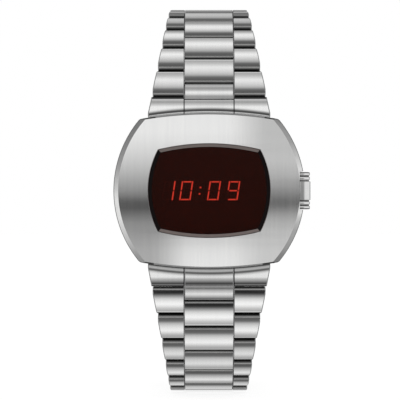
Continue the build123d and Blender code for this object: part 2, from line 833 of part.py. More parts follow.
def blade_inner(span, cover_pivot, fold_pivot):
    """Blade next to the wrist: fork at the fold hinge, two arms round the upper chain's tongue."""
    pivot_y = cover_pivot[0]
    fold_y, fold_z = fold_pivot
    low = -blade_inner_low
    high = low + blade_thickness
    wide = blade_inner_half_width
    neck_high = fold_y + blade_neck_length
    slot_low = pivot_y - blade_open_back
    blade = block(-blade_half_width, blade_half_width, fold_y, neck_high, low, high)
    blade += block(-wide, wide, neck_high, slot_low, low, high)
    blade += rod_x(knuckle_radius, -blade_half_width, blade_half_width, fold_y, fold_z, lug_sides)
    gap = fold_knuckle_half + fold_play
    clear = knuckle_radius + knuckle_gap
    blade -= block(-gap, gap, fold_y - clear, fold_y + clear, low - overrun, high + overrun)
    arm_inner = centre_half_width + lug_play
    step = pivot_y - arm_step_back
    arm = side_polygon([
        (slot_low - arm_rise_length, low), (step - arm_slope, low), (step, arm_bottom), (span, arm_bottom),
        (span, arm_lug_radius), (slot_low, arm_lug_radius), (slot_low - arm_rise_length, high),
    ], arm_inner, wide)
    arm += rod_x(arm_lug_radius, arm_inner, wide, span, 0, lug_sides)
    bar_hole = pin_radius + press_fit
    arm -= rod_x(bar_hole, arm_inner - overrun, wide - bar_end_wall, span, 0, pin_sides, True)
    blade += both_sides(arm)
    notch_half = button_length / 2 + button_flange + button_notch_gap
    notch_x = bracelet_half_width - cover_wall - button_fit - button_flange_thickness
    notch_x -= button_travel + button_notch_gap
    notch = block(notch_x, wide + overrun, button_y - notch_half, button_y + notch_half, low - overrun, high + overrun)
    blade -= both_sides(notch)
    reach = blade_half_width + overrun
    return blade - rod_x(pin_radius + pin_fit, -reach, reach, fold_y, fold_z, pin_sides, True)


def bar_ends(span):
    """Spring bar of the open end, drawn back into the arms so that the tongue can leave."""
    low = centre_half_width + lug_play + bar_end_sink
    end = rod_x(pin_radius, low, blade_inner_half_width - bar_end_wall, span, 0, pin_sides)
    return [end, mirror(end, about=Plane.YZ)]


def write_clasp(low_end, high_end):
    """Write the clasp, drawn along the line between the two chains' free ends."""
    low_y, low_z = low_end
    high_y, high_z = high_end
    span = hypot(high_y - low_y, high_z - low_z)
    frame = Pos(0, low_y, low_z) * Rot(degrees(atan2(high_z - low_z, high_y - low_y)), 0, 0)
    cover_pivot = (span - cover_pivot_back, -cover_pivot_drop)
    fold_pivot = (fold_pivot_in, fold_pivot_rise)
    inside = bracelet_half_width - cover_wall
    write("clasp_cover", frame * clasp_cover(span, cover_pivot))
    write("clasp_bar", frame * rod_x(pin_radius, -inside, inside, 0, 0, pin_sides))
    reach = bracelet_half_width - cover_wall / 3
    write("cover_hinge_pin", frame * rod_x(pin_radius, -reach, reach, *cover_pivot, pin_sides))
    write("blade_outer", frame * blade_outer(cover_pivot, fold_pivot))
    fold_pin = rod_x(pin_radius, -blade_half_width, blade_half_width, *fold_pivot, pin_sides)
    write("fold_hinge_pin", frame * fold_pin)
    write("blade_inner", frame * blade_inner(span, cover_pivot, fold_pivot))
    write("open_bar_ends", *[frame * end for end in bar_ends(span)])
    button = release_button()
    write("release_button_right", frame * button)
    write("release_button_left", frame * mirror(button, about=Plane.YZ))
    print("clasp frame", frame, "span", round(span, 4))


def write_head():
    """Write the case, the module inside it and the pusher."""
    half_turn = Rot(0, 0, 180)
    write("case_body", case_body())
    write("crystal", crystal())
    write("crystal_gasket", crystal_gasket())
    write("display_mask", display_mask())
    write("module_holder", module_holder())
    write("circuit_board", circuit_board())
    write("led_substrate", led_substrate())
    write("segments_lit", *digit_segments(True))
    write("segments_dark", *digit_segments(False))
    write("driver_chip", driver_chip())
    write("quartz_can", quartz_can())
    write("battery_holder", battery_holder())
    write("battery", battery())
    write("battery_strap", battery_strap())
    write("battery_contact", battery_contact())
    write("switch_leaf", switch_leaf())
    write("case_back", case_back())
    write("case_back_gasket", case_back_gasket())
    write("pusher", pusher())
    write("pusher_gasket", pusher_gasket())
    write("pusher_clip", pusher_clip())
    write("pusher_spring", pusher_spring())
    write("end_link_upper", end_link(upper_hinge_y, upper_tilt))
    write("end_link_lower", half_turn * end_link(lower_hinge_y, lower_tilt))
    write("end_link_bars", *end_link_bars())


os.makedirs("parts", exist_ok=True)
write_head()
upper_end = write_chain("upper_link", upper_hinge_y, upper_angles, Rot(0, 0, 0))
lower_end = write_chain("lower_link", lower_hinge_y, lower_angles, Rot(0, 0, 180))
write_clasp((-lower_end[0], lower_end[1]), upper_end)
for label, start, angles, side in (
    ("upper", upper_hinge_y, upper_angles, 1), ("lower", lower_hinge_y, lower_angles, -1),
):
    print(label, [(round(-z, 4), round(side * y, 4)) for y, z in chain(start, angles)])
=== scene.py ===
# %% [markdown]
# # A retro led watch, dressed in Blender
# The CAD model gives every solid part its exact shape and place. This lesson gives those parts their
# finishes, rounds the edges that catch light, adds the small screws, and lights the watch on white.
# We begin with an empty file, because Blender's start-up cube would count as part of the watch.

# %% Load the frame
import json
import math

import bmesh
import bpy
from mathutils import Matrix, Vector

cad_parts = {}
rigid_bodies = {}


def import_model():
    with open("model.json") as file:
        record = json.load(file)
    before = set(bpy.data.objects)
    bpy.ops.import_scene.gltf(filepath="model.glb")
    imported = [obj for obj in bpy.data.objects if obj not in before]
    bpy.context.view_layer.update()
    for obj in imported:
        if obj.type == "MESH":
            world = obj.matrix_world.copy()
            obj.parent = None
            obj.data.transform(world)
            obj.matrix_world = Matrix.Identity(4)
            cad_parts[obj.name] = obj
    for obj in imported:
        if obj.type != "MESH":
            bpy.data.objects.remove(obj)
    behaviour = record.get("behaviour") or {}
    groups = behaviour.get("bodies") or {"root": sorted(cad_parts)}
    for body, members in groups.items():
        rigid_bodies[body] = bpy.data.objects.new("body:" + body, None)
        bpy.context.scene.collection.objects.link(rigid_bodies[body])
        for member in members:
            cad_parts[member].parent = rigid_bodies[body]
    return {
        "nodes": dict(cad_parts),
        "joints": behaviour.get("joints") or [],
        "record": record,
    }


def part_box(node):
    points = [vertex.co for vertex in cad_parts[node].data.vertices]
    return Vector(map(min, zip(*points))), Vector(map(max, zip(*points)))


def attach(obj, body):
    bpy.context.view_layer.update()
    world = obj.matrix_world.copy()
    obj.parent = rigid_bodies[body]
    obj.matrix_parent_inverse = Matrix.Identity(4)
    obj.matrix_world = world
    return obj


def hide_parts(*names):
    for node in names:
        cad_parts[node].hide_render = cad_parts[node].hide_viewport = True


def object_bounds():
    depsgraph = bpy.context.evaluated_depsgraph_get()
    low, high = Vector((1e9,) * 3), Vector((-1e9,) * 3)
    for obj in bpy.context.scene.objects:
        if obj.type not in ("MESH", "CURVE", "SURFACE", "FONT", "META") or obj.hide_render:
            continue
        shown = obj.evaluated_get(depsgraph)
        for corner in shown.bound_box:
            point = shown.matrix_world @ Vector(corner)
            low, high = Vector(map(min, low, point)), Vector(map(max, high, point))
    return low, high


for start_object in list(bpy.data.objects):
    bpy.data.objects.remove(start_object)

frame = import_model()
nodes = frame["nodes"]
cad_low, cad_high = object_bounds()
mm = 0.001
print("nodes:", len(nodes), "size in mm:", [round(v / mm, 2) for v in cad_high - cad_low])

# %% [markdown]
# ## Camera
# The photograph looks straight at the dial from about 0.42 m with a long lens, a little left of and
# below the middle of the case. A camera is fixed in real units, so the watch lands where it should
# without any fitting by eye.

# %% Camera
case_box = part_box("case_body")
case_front_y = case_box[0].y
camera_distance = 420 * mm
camera_x = -1.95 * mm
camera_z = -2.0 * mm
frame_width = 85.0 * mm

camera_data = bpy.data.cameras.new("camera")
camera = bpy.data.objects.new("camera", camera_data)
bpy.context.scene.collection.objects.link(camera)
camera.location = (camera_x, case_front_y - camera_distance, camera_z)
camera.rotation_euler = (math.radians(90), 0, 0)
camera_data.sensor_width = 36
camera_data.lens = camera_data.sensor_width * camera_distance / frame_width
camera_data.clip_start = 10 * mm
bpy.context.scene.camera = camera
print("lens:", round(camera_data.lens, 1))

# %% [markdown]
# ## Node helpers
# Every finish and the studio are drawn by shader nodes. A few small functions write the nodes that
# come back again and again: arithmetic, soft steps, grey ramps and the parts of a place. Each of
# them takes sockets or plain numbers and gives back the socket that holds its result.

# %% Helpers for arithmetic nodes
def feed(links, value, socket):
    """Gives a socket a number, or what another socket holds."""
    if isinstance(value, bpy.types.NodeSocket):
        links.new(value, socket)
    else:
        socket.default_value = value


def calculate(shader_nodes, links, operation, *values):
    """Result of a math node."""
    node = shader_nodes.new("ShaderNodeMath")
    node.operation = operation
    for number, value in enumerate(values):
        feed(links, value, node.inputs[number])
    return node.outputs[0]


def mix(shader_nodes, links, share, first, second):
    """Value that goes from the first to the second while share goes from 0 to 1."""
    blend = shader_nodes.new("ShaderNodeMix")
    for name, value in (("Factor", share), ("A", first), ("B", second)):
        feed(links, value, blend.inputs[name])
    return blend.outputs["Result"]


def ease(shader_nodes, links, source, start, end, low, high):
    """Smooth step from low to high, while the source goes from start to end."""
    ramp = shader_nodes.new("ShaderNodeMapRange")
    ramp.interpolation_type = "SMOOTHSTEP"
    for name, value in (("From Min", start), ("From Max", end), ("To Min", low), ("To Max", high)):
        ramp.inputs[name].default_value = value
    links.new(source, ramp.inputs["Value"])
    return ramp.outputs["Result"]


print("arithmetic helpers:", feed.__name__, calculate.__name__, mix.__name__, ease.__name__)


# %% Helpers for greys and places
def grey_ramp(shader_nodes, links, share, stops):
    """Grey that follows a share through the stops given, each a place and its grey."""
    ramp = shader_nodes.new("ShaderNodeValToRGB")
    links.new(share, ramp.inputs["Fac"])
    elements = ramp.color_ramp.elements
    for number, (place, grey) in enumerate(stops):
        stop = elements[number] if number < 2 else elements.new(place)
        stop.position = place
        stop.color = (grey, grey, grey, 1)
    return ramp.outputs["Color"]


def parts_of(shader_nodes, links, source):
    """X, Y and Z of a vector."""
    apart = shader_nodes.new("ShaderNodeSeparateXYZ")
    links.new(source, apart.inputs[0])
    return apart.outputs


def uv_parts(shader_nodes, links):
    """Parts of the piece's UV map."""
    return parts_of(shader_nodes, links, shader_nodes.new("ShaderNodeUVMap").outputs[0])


def own_parts(shader_nodes, links):
    """Parts of the place in the watch."""
    return parts_of(shader_nodes, links, shader_nodes.new("ShaderNodeTexCoord").outputs["Object"])


print("place helpers:", grey_ramp.__name__, parts_of.__name__, uv_parts.__name__, own_parts.__name__)

# %% [markdown]
# ## A studio for steel
# Polished and brushed steel shows little but what stands round it. In a room that is white all over
# it turns into a flat pale shape, so a photographer hangs soft boxes and dark flags round the lens.
# Here the world plays that room: it is pale all round, dark in a narrow band level with the lens and
# darker behind the watch. The camera itself sees plain white. A world is used and not lamps and
# cards, because it gives these broad soft shapes with no noise, and it can't be seen in any view.

# %% Studio values
# Brightness at each angle, in degrees: 0 is level towards the lens, 90 straight up, 180 behind
studio_profile = (
    (-180, 0.34), (-170, 0.48), (-152, 0.62), (-125, 0.80), (-98, 0.70), (-75, 0.85), (-50, 0.97),
    (-28, 0.95), (-24, 0.92), (-20.5, 0.84), (-18, 0.68), (-14, 0.57), (-11, 0.48), (-9, 0.42),
    (-7, 0.26), (-5.2, 0.07), (-3.6, 0.07), (-1.6, 0.23), (0.9, 0.34), (4.4, 0.44), (6.7, 0.54),
    (10, 0.64), (12.8, 0.74), (18.8, 0.88), (22, 0.97), (62, 0.80), (80, 0.85), (96, 1.0),
    (125, 0.62), (150, 0.50), (170, 0.45), (180, 0.34),
)
# Both sides of the room are plain, from where a direction points this far aside
side_brightness = 0.85
side_start = 0.55
side_full = 0.9
print("studio stops:", len(studio_profile))


# %% World
def studio_world():
    """Room that metal reflects, and plain white for the camera."""
    world = bpy.data.worlds.new("studio")
    bpy.context.scene.world = world
    world.use_nodes = True
    shader_nodes = world.node_tree.nodes
    links = world.node_tree.links
    room = shader_nodes["Background"]
    room.inputs["Color"].default_value = (1, 1, 1, 1)
    direction = parts_of(shader_nodes, links, shader_nodes.new("ShaderNodeTexCoord").outputs["Generated"])
    forward = calculate(shader_nodes, links, "MULTIPLY", direction["Y"], -1)
    angle = calculate(shader_nodes, links, "ARCTAN2", direction["Z"], forward)
    turn = calculate(shader_nodes, links, "MULTIPLY_ADD", angle, 0.5 / math.pi, 0.5)
    stops = [((degrees + 180) / 360, grey) for degrees, grey in studio_profile]
    profile = grey_ramp(shader_nodes, links, turn, stops)
    sideways = calculate(shader_nodes, links, "ABSOLUTE", direction["X"])
    beside = ease(shader_nodes, links, sideways, side_start, side_full, 0, 1)
    light = mix(shader_nodes, links, beside, profile, side_brightness)
    seen = shader_nodes.new("ShaderNodeLightPath").outputs["Is Camera Ray"]
    links.new(calculate(shader_nodes, links, "MAXIMUM", light, seen), room.inputs["Strength"])
    return world


studio = studio_world()
bpy.context.scene.view_settings.view_transform = "Standard"
print("world:", studio.name, "with", len(studio.node_tree.nodes), "nodes")

# %% [markdown]
# ## Floor
# The floor is white: part of its white is its own glow, and part is the light that falls on it, so
# it keeps a soft shadow. The steel sees the studio and not the floor, which would cut the dark band
# in half.

# %% A helper that starts a material
def start_material(name):
    """New node material, given as the material, its nodes, its links and its main shader."""
    material = bpy.data.materials.new(name)
    material.use_nodes = True
    tree = material.node_tree
    return material, tree.nodes, tree.links, tree.nodes["Principled BSDF"]


print("materials start with:", start_material.__name__)

# %% Floor
floor_size = 4
floor_grey = 0.25
floor_glow = 0.84


def add_floor():
    """White floor that the lower links stand on."""
    bpy.ops.mesh.primitive_plane_add(size=floor_size, location=(0, 0, cad_low.z))
    floor = bpy.context.object
    floor.name = "floor"
    floor.visible_glossy = False
    material, shader_nodes, links, diffuse = start_material("white_floor")
    diffuse.inputs["Base Color"].default_value = (floor_grey, floor_grey, floor_grey, 1)
    diffuse.inputs["Roughness"].default_value = 0.9
    diffuse.inputs["Specular IOR Level"].default_value = 0
    diffuse.inputs["Emission Color"].default_value = (1, 1, 1, 1)
    diffuse.inputs["Emission Strength"].default_value = floor_glow
    floor.data.materials.append(material)


bpy.ops.object.select_all(action="DESELECT")
add_floor()
print("floor at", round(cad_low.z / mm, 2), "mm")

# %% [markdown]
# ## Brushed steel
# The front of the case and the links are brushed from 12 to 6 o'clock. Each brush line is a tiny
# groove, so light spreads across the lines and hardly along them. The shader's anisotropy does
# that, with a tangent that points across the watch. A noise that is stretched along the lines
# varies colour, roughness and height, which gives the grain that the eye sees.

# %% Noise for a finish
# Nearly all of a noise lies between these two values
noise_low = 0.25
noise_high = 0.75
noise_roughness = 0.7


def brush_noise(shader_nodes, links, across, along, detail):
    """Noise that is fine across the watch and may be stretched along it."""
    place = shader_nodes.new("ShaderNodeTexCoord")
    stretch = shader_nodes.new("ShaderNodeMapping")
    stretch.inputs["Scale"].default_value = (across, along, along)
    noise = shader_nodes.new("ShaderNodeTexNoise")
    noise.inputs["Scale"].default_value = 1
    noise.inputs["Detail"].default_value = detail
    noise.inputs["Roughness"].default_value = noise_roughness
    links.new(place.outputs["Object"], stretch.inputs["Vector"])
    links.new(stretch.outputs[0], noise.inputs["Vector"])
    return noise.outputs["Fac"]


def spread(shader_nodes, links, source, low, high):
    """Turns a noise into a range of values."""
    ramp = shader_nodes.new("ShaderNodeMapRange")
    limits = (("From Min", noise_low), ("From Max", noise_high), ("To Min", low), ("To Max", high))
    for name, value in limits:
        ramp.inputs[name].default_value = value
    links.new(source, ramp.inputs["Value"])
    return ramp.outputs["Result"]


def tint(shader_nodes, links, source, dark, light):
    """Turns a noise into a colour between two."""
    ramp = shader_nodes.new("ShaderNodeValToRGB")
    for stop, place, colour in zip(ramp.color_ramp.elements, (noise_low, noise_high), (dark, light)):
        stop.position = place
        stop.color = (*colour, 1)
    links.new(source, ramp.inputs["Fac"])
    return ramp.outputs["Color"]


print("a noise counts from", noise_low, "to", noise_high)

# %% Brushed steel
brush_across = 1800
brush_along = 60
brush_depth = 0.002 * mm
brush_strength = 0.2


def multiply_colour(shader_nodes, links, colour, grey):
    """Colour multiplied by a grey."""
    mixed = shader_nodes.new("ShaderNodeMix")
    mixed.data_type = "RGBA"
    mixed.blend_type = "MULTIPLY"
    mixed.inputs["Factor"].default_value = 1
    links.new(colour, mixed.inputs[6])
    links.new(grey, mixed.inputs[7])
    return mixed.outputs[2]


def brushed_steel(name, dark, light, smooth, rough, turned=0.85, shading=None):
    """Steel with brush lines from 12 to 6 o'clock, multiplied by the grey that shading makes."""
    material, shader_nodes, links, steel = start_material(name)
    steel.inputs["Metallic"].default_value = 1
    steel.inputs["Anisotropic"].default_value = turned
    noise = brush_noise(shader_nodes, links, brush_across, brush_along, 5)
    colour = tint(shader_nodes, links, noise, dark, light)
    if shading:
        colour = multiply_colour(shader_nodes, links, colour, shading(shader_nodes, links))
    links.new(colour, steel.inputs["Base Color"])
    links.new(spread(shader_nodes, links, noise, smooth, rough), steel.inputs["Roughness"])
    across = shader_nodes.new("ShaderNodeCombineXYZ")
    across.inputs["X"].default_value = 1
    links.new(across.outputs[0], steel.inputs["Tangent"])
    lines = shader_nodes.new("ShaderNodeBump")
    lines.inputs["Strength"].default_value = brush_strength
    lines.inputs["Distance"].default_value = brush_depth
    links.new(noise, lines.inputs["Height"])
    links.new(lines.outputs[0], steel.inputs["Normal"])
    return material


clasp_steel = brushed_steel("clasp_steel", (0.72, 0.72, 0.72), (0.84, 0.84, 0.83), 0.20, 0.30)
print("brushed:", clasp_steel.name)

# %% [markdown]
# ## Painted light and shade
# The photograph's soft boxes and flags stand in places that a plain studio can't give to every view.
# So the broad lights and darks of the front are laid into the steel's own colour, as ramps along the
# watch. They belong to the piece, and stay where they are when the camera moves. Each list below
# gives places along a piece, and the grey that multiplies the steel there.

# %% Brushed case front
case_span = 34 * mm
shade_inner = 3 * mm
shade_outer = 13 * mm
left_stops = (
    (0.0, 0.50), (0.16, 0.55), (0.30, 0.60), (0.36, 0.50), (0.39, 0.48), (0.42, 0.65), (0.46, 0.94),
    (0.50, 1.0),
)
right_stops = (
    (0.0, 0.70), (0.16, 0.80), (0.24, 0.95), (0.30, 1.0), (0.58, 1.0), (0.68, 0.90), (0.76, 0.74),
    (0.86, 0.64),
)


def case_share(shader_nodes, links, place):
    """Share of the way up the case front."""
    return calculate(shader_nodes, links, "MULTIPLY_ADD", place["Z"], 1 / case_span, 0.5)


def case_shading(shader_nodes, links):
    """Falls off at the lower left and the upper right, where the photographed case is shaded."""
    place = own_parts(shader_nodes, links)
    share = case_share(shader_nodes, links, place)
    to_left = ease(shader_nodes, links, place["X"], -shade_outer, -shade_inner, 1, 0)
    to_right = ease(shader_nodes, links, place["X"], shade_inner, shade_outer, 0, 1)
    grey = 1.0
    for stops, amount in ((left_stops, to_left), (right_stops, to_right)):
        side = mix(shader_nodes, links, amount, 1, grey_ramp(shader_nodes, links, share, stops))
        grey = calculate(shader_nodes, links, "MULTIPLY", side, grey)
    return grey


case_steel = brushed_steel(
    "case_steel", (0.80, 0.80, 0.80), (0.87, 0.87, 0.86), 0.18, 0.23, shading=case_shading,
)
print("brushed:", case_steel.name)

# %% Brushed links
# Along a link's top: 0 at the end near the case, 1 at the far end
link_stops = (
    (0.0, 0.12), (0.13, 0.12), (0.17, 0.13), (0.21, 0.17), (0.25, 0.30), (0.29, 0.47), (0.37, 0.66),
    (0.45, 0.80), (0.53, 0.93), (0.61, 1.0), (0.69, 0.85), (0.77, 0.64), (0.85, 0.52), (0.90, 0.46),
    (0.917, 0.75), (0.94, 0.70), (0.955, 0.03), (1.0, 0.02),
)


def link_shading(shader_nodes, links):
    """Painted shade at the roll near the case, full light past the middle, and painted shade in the gap."""
    return grey_ramp(shader_nodes, links, uv_parts(shader_nodes, links)["Y"], link_stops)


link_steel = brushed_steel(
    "link_steel", (0.93, 0.93, 0.93), (0.99, 0.99, 0.98), 0.18, 0.23, shading=link_shading,
)
print("brushed:", link_steel.name)

# %% Values for the end links
# Greys by the distance in mm past the case's straight edge, and past the curved edge of its front
case_edge_radius = 86 * mm
ramp_length = 8 * mm
column_edge = 5.35 * mm
groove_half = 0.17 * mm
# Painted shade in the grooves beside the centre column, and past the ends of the outer pieces
groove_shade = 0.15
gap_shade = 0.05
gap_blend = 0.1 * mm
upper_outer_end = 3.1 * mm
lower_outer_end = 3.7 * mm
upper_from_case = (
    (0.0, 1.0), (1.35, 0.97), (1.9, 0.60), (2.4, 0.37), (2.8, 0.58), (3.24, 0.58), (3.67, 0.48),
    (4.1, 0.85), (4.53, 0.95), (4.97, 0.52), (5.4, 0.37), (5.84, 0.60), (6.05, 0.50), (6.2, 0.05),
)
upper_from_curve = (
    (0.0, 1.0), (0.28, 1.0), (0.42, 0.15), (0.62, 0.06), (0.8, 0.12), (1.05, 0.5), (1.3, 0.9), (1.6, 1.0),
)
lower_from_case = (
    (0.0, 1.0), (1.9, 0.97), (2.1, 0.80), (2.3, 0.60), (2.55, 0.46), (2.75, 0.37), (2.97, 0.22),
    (3.2, 0.10), (3.4, 0.06), (3.6, 0.30), (3.8, 0.85), (4.04, 1.0), (5.5, 1.0), (5.95, 0.62),
    (6.3, 0.35), (6.6, 0.12), (7.0, 0.03),
)
lower_from_curve = (
    (0.0, 0.30), (0.2, 0.28), (0.4, 0.42), (0.6, 0.56), (0.75, 0.50), (0.95, 0.20), (1.12, 0.10),
    (1.3, 0.3), (1.55, 0.7), (1.9, 1.0),
)
upper_count = len(upper_from_case) + len(upper_from_curve)
lower_count = len(lower_from_case) + len(lower_from_curve)
print("end link stops:", upper_count, "above and", lower_count, "below")


# %% Brushed end links
def end_link_shading(from_case, from_curve, outer_end):
    """Maker of an end link's painted light and shade: by its distance from the case, its grooves and its
    outer ends.
    """
    def shading(shader_nodes, links):
        place = own_parts(shader_nodes, links)
        away = calculate(shader_nodes, links, "ABSOLUTE", place["Z"])
        past_case = calculate(shader_nodes, links, "SUBTRACT", away, case_box[1].z)
        squared = calculate(shader_nodes, links, "POWER", place["X"], 2)
        bend = 0.5 / case_edge_radius
        past_curve = calculate(shader_nodes, links, "MULTIPLY_ADD", squared, bend, past_case)
        greys = []
        for distance, stops in ((past_case, from_case), (past_curve, from_curve)):
            share = calculate(shader_nodes, links, "DIVIDE", distance, ramp_length)
            placed_stops = [(mm * at / ramp_length, grey) for at, grey in stops]
            greys.append(grey_ramp(shader_nodes, links, share, placed_stops))
        grey = calculate(shader_nodes, links, "MULTIPLY", *greys)
        aside = calculate(shader_nodes, links, "ABSOLUTE", place["X"])
        past_groove = calculate(shader_nodes, links, "SUBTRACT", aside, column_edge)
        from_groove = calculate(shader_nodes, links, "ABSOLUTE", past_groove)
        groove = ease(shader_nodes, links, from_groove, groove_half / 2, groove_half, groove_shade, 1)
        outer = ease(shader_nodes, links, aside, column_edge, column_edge + groove_half, 0, 1)
        beyond = ease(shader_nodes, links, past_case, outer_end - gap_blend, outer_end, 0, 1)
        in_gap = calculate(shader_nodes, links, "MULTIPLY", outer, beyond)
        gap = calculate(shader_nodes, links, "MULTIPLY_ADD", in_gap, gap_shade - 1, 1)
        grooved = calculate(shader_nodes, links, "MULTIPLY", grey, groove)
        return calculate(shader_nodes, links, "MULTIPLY", grooved, gap)

    return shading


end_link_greys = ((0.86, 0.86, 0.86), (0.95, 0.95, 0.94))
upper_shading = end_link_shading(upper_from_case, upper_from_curve, upper_outer_end)
lower_shading = end_link_shading(lower_from_case, lower_from_curve, lower_outer_end)
end_link_steels = {
    "end_link_upper": brushed_steel("upper_end_steel", *end_link_greys, 0.18, 0.23, shading=upper_shading),
    "end_link_lower": brushed_steel("lower_end_steel", *end_link_greys, 0.18, 0.23, shading=lower_shading),
}
print("brushed:", *(steel.name for steel in end_link_steels.values()))

# %% [markdown]
# ## Polished steel
# Bevels, edges, the pusher and the small hardware are polished. A real polished face isn't quite
# even: a faint, broad unevenness of roughness keeps it from looking like a mirror. The walls
# between two links are only milled, so they are duller, and carry a painted shade for the dark of the gap.

# %% Polished steel
polish_grain = 900
pale_greys = ((0.80, 0.80, 0.80), (0.88, 0.88, 0.87))


def polished_steel(name, dark, light, smooth, rough, metallic=1.0, shading=None):
    """Polished or milled steel with faint unevenness, multiplied by the grey that shading makes."""
    material, shader_nodes, links, steel = start_material(name)
    steel.inputs["Metallic"].default_value = metallic
    noise = brush_noise(shader_nodes, links, polish_grain, polish_grain, 3)
    colour = tint(shader_nodes, links, noise, dark, light)
    if shading:
        colour = multiply_colour(shader_nodes, links, colour, shading(shader_nodes, links))
    links.new(colour, steel.inputs["Base Color"])
    links.new(spread(shader_nodes, links, noise, smooth, rough), steel.inputs["Roughness"])
    return material


bright_metal = polished_steel("bright_metal", (0.76, 0.76, 0.76), (0.84, 0.84, 0.83), 0.06, 0.12)
edge_steel = polished_steel("edge_steel", *pale_greys, 0.07, 0.14)
# Near-black steel for grooves and the pusher's ends: its darkness is painted shade
dark_shade_steel = polished_steel("dark_shade_steel", (0.09, 0.09, 0.09), (0.13, 0.13, 0.13), 0.22, 0.30)
print("polished:", bright_metal.name, edge_steel.name, dark_shade_steel.name)

# %% Walls and sides of the links
# Up a link: 0 on the wrist side, 1 at the top
wall_stops = ((0.0, 0.02), (0.66, 0.02), (0.76, 0.10), (0.83, 0.65), (0.88, 1.0))
link_side_stops = ((0.0, 0.45), (0.22, 0.62), (0.45, 1.0), (0.62, 1.0), (0.85, 0.72), (1.0, 0.55))


def wall_shading(shader_nodes, links):
    """Painted light at the top of an end wall, and painted shade down in the gap between two links."""
    return grey_ramp(shader_nodes, links, uv_parts(shader_nodes, links)["X"], wall_stops)


def link_side_shading(shader_nodes, links):
    """Polished side of a link with a painted highlight, brightest at half its height."""
    return grey_ramp(shader_nodes, links, uv_parts(shader_nodes, links)["X"], link_side_stops)


# Milled end walls, a little duller, with painted shade that darkens them down into the gap
milled_shaded_steel = polished_steel(
    "milled_shaded_steel", (0.34, 0.34, 0.34), (0.40, 0.40, 0.39), 0.45, 0.55, metallic=0.4, shading=wall_shading,
)
link_side_steel = polished_steel("link_side_steel", *pale_greys, 0.10, 0.18, shading=link_side_shading)
print("polished:", milled_shaded_steel.name, link_side_steel.name)

# %% Bevels and sides of the case
# Up the bevels: 0 at 6 o'clock, 1 at 12. Through the side: 0 at the case back, 1 at the front
left_bevel_stops = (
    (0.0, 0.35), (0.10, 0.48), (0.17, 0.66), (0.25, 0.84), (0.33, 1.0), (0.44, 1.0), (0.48, 0.92),
    (0.51, 0.79), (0.55, 0.68), (0.59, 0.58), (0.66, 0.43), (0.74, 0.35), (0.81, 0.29), (0.90, 0.26),
    (1.0, 0.24),
)
right_bevel_stops = (
    (0.0, 0.26), (0.10, 0.34), (0.14, 0.43), (0.25, 0.51), (0.29, 0.62), (0.33, 0.76), (0.36, 1.0),
    (0.63, 1.0), (0.66, 0.90), (0.70, 0.76), (0.74, 0.64), (0.78, 0.53), (0.81, 0.45), (0.89, 0.40),
    (0.93, 0.34), (1.0, 0.30),
)
side_stops = (
    (0.0, 0.70), (0.10, 0.95), (0.28, 0.85), (0.42, 0.52), (0.52, 0.48), (0.64, 0.80), (0.80, 1.0),
    (1.0, 0.95),
)


def bevel_shading(shader_nodes, links):
    """Painted shade along the bevels, dark at the upper left and the lower right."""
    place = own_parts(shader_nodes, links)
    share = case_share(shader_nodes, links, place)
    left = grey_ramp(shader_nodes, links, share, left_bevel_stops)
    right = grey_ramp(shader_nodes, links, share, right_bevel_stops)
    return mix(shader_nodes, links, ease(shader_nodes, links, place["X"], -mm, mm, 0, 1), left, right)


def side_shading(shader_nodes, links):
    """A painted broad grey reflection round the middle of the case's side."""
    place = own_parts(shader_nodes, links)
    share = calculate(shader_nodes, links, "DIVIDE", place["Y"], case_front_y)
    return grey_ramp(shader_nodes, links, share, side_stops)


bevel_steel = polished_steel("bevel_steel", *pale_greys, 0.07, 0.14, shading=bevel_shading)
side_steel = polished_steel("side_steel", *pale_greys, 0.10, 0.18, shading=side_shading)
print("polished:", bevel_steel.name, side_steel.name)

# %% [markdown]
# ## Crystal and light
# The window is a dark red crystal. Seen from the front it is nearly black, and the lit bars shine
# through. It is real glass here: light goes in, is tinted, and comes out again, so its bevel bends
# what stands behind it.

# %% Crystal and display
crystal_grain = 300
bar_grain = 6000
bar_glow = (1.6, 1.9)


def dark_crystal():
    """Dark red glass."""
    material, shader_nodes, links, glass = start_material("dark_crystal")
    glass.inputs["Base Color"].default_value = (0.32, 0.06, 0.03, 1)
    glass.inputs["Transmission Weight"].default_value = 0.965
    glass.inputs["IOR"].default_value = 1.2
    noise = brush_noise(shader_nodes, links, crystal_grain, crystal_grain, 2)
    links.new(spread(shader_nodes, links, noise, 0.0, 0.02), glass.inputs["Roughness"])
    return material


def glowing_red():
    """Lit bar."""
    material, shader_nodes, links, bar = start_material("red_light")
    bar.inputs["Base Color"].default_value = (0.5, 0.02, 0.01, 1)
    bar.inputs["Emission Color"].default_value = (1.0, 0.36, 0.40, 1)
    noise = brush_noise(shader_nodes, links, bar_grain, bar_grain, 2)
    links.new(spread(shader_nodes, links, noise, *bar_glow), bar.inputs["Emission Strength"])
    return material


crystal_glass = dark_crystal()
red_light = glowing_red()
print("display:", crystal_glass.name, red_light.name)

# %% [markdown]
# ## Plain finishes and drawn lines
# Rubber, plastic, the board and the plated contacts get a plain shader with a fine grain. The same
# function makes three greys for the round edges, which are painted shade. Every outline of the steel
# should read as a thin dark line, where its edge turns away from all the lights, so that shade is
# painted into a dull grey edge, which gives the line in every view.

# %% A plain finish
fine_grain = 1500
grain_strength = 0.3


def plain_finish(name, dark, light, smooth, rough, metallic=0.0, height=0.0, shine=0.5):
    """Moulded, lacquered or plated finish with a fine grain."""
    material, shader_nodes, links, shader = start_material(name)
    shader.inputs["Metallic"].default_value = metallic
    shader.inputs["Specular IOR Level"].default_value = shine
    noise = brush_noise(shader_nodes, links, fine_grain, fine_grain, 4)
    links.new(tint(shader_nodes, links, noise, dark, light), shader.inputs["Base Color"])
    links.new(spread(shader_nodes, links, noise, smooth, rough), shader.inputs["Roughness"])
    if height:
        grain = shader_nodes.new("ShaderNodeBump")
        grain.inputs["Strength"].default_value = grain_strength
        grain.inputs["Distance"].default_value = height
        links.new(noise, grain.inputs["Height"])
        links.new(grain.outputs[0], shader.inputs["Normal"])
    return material
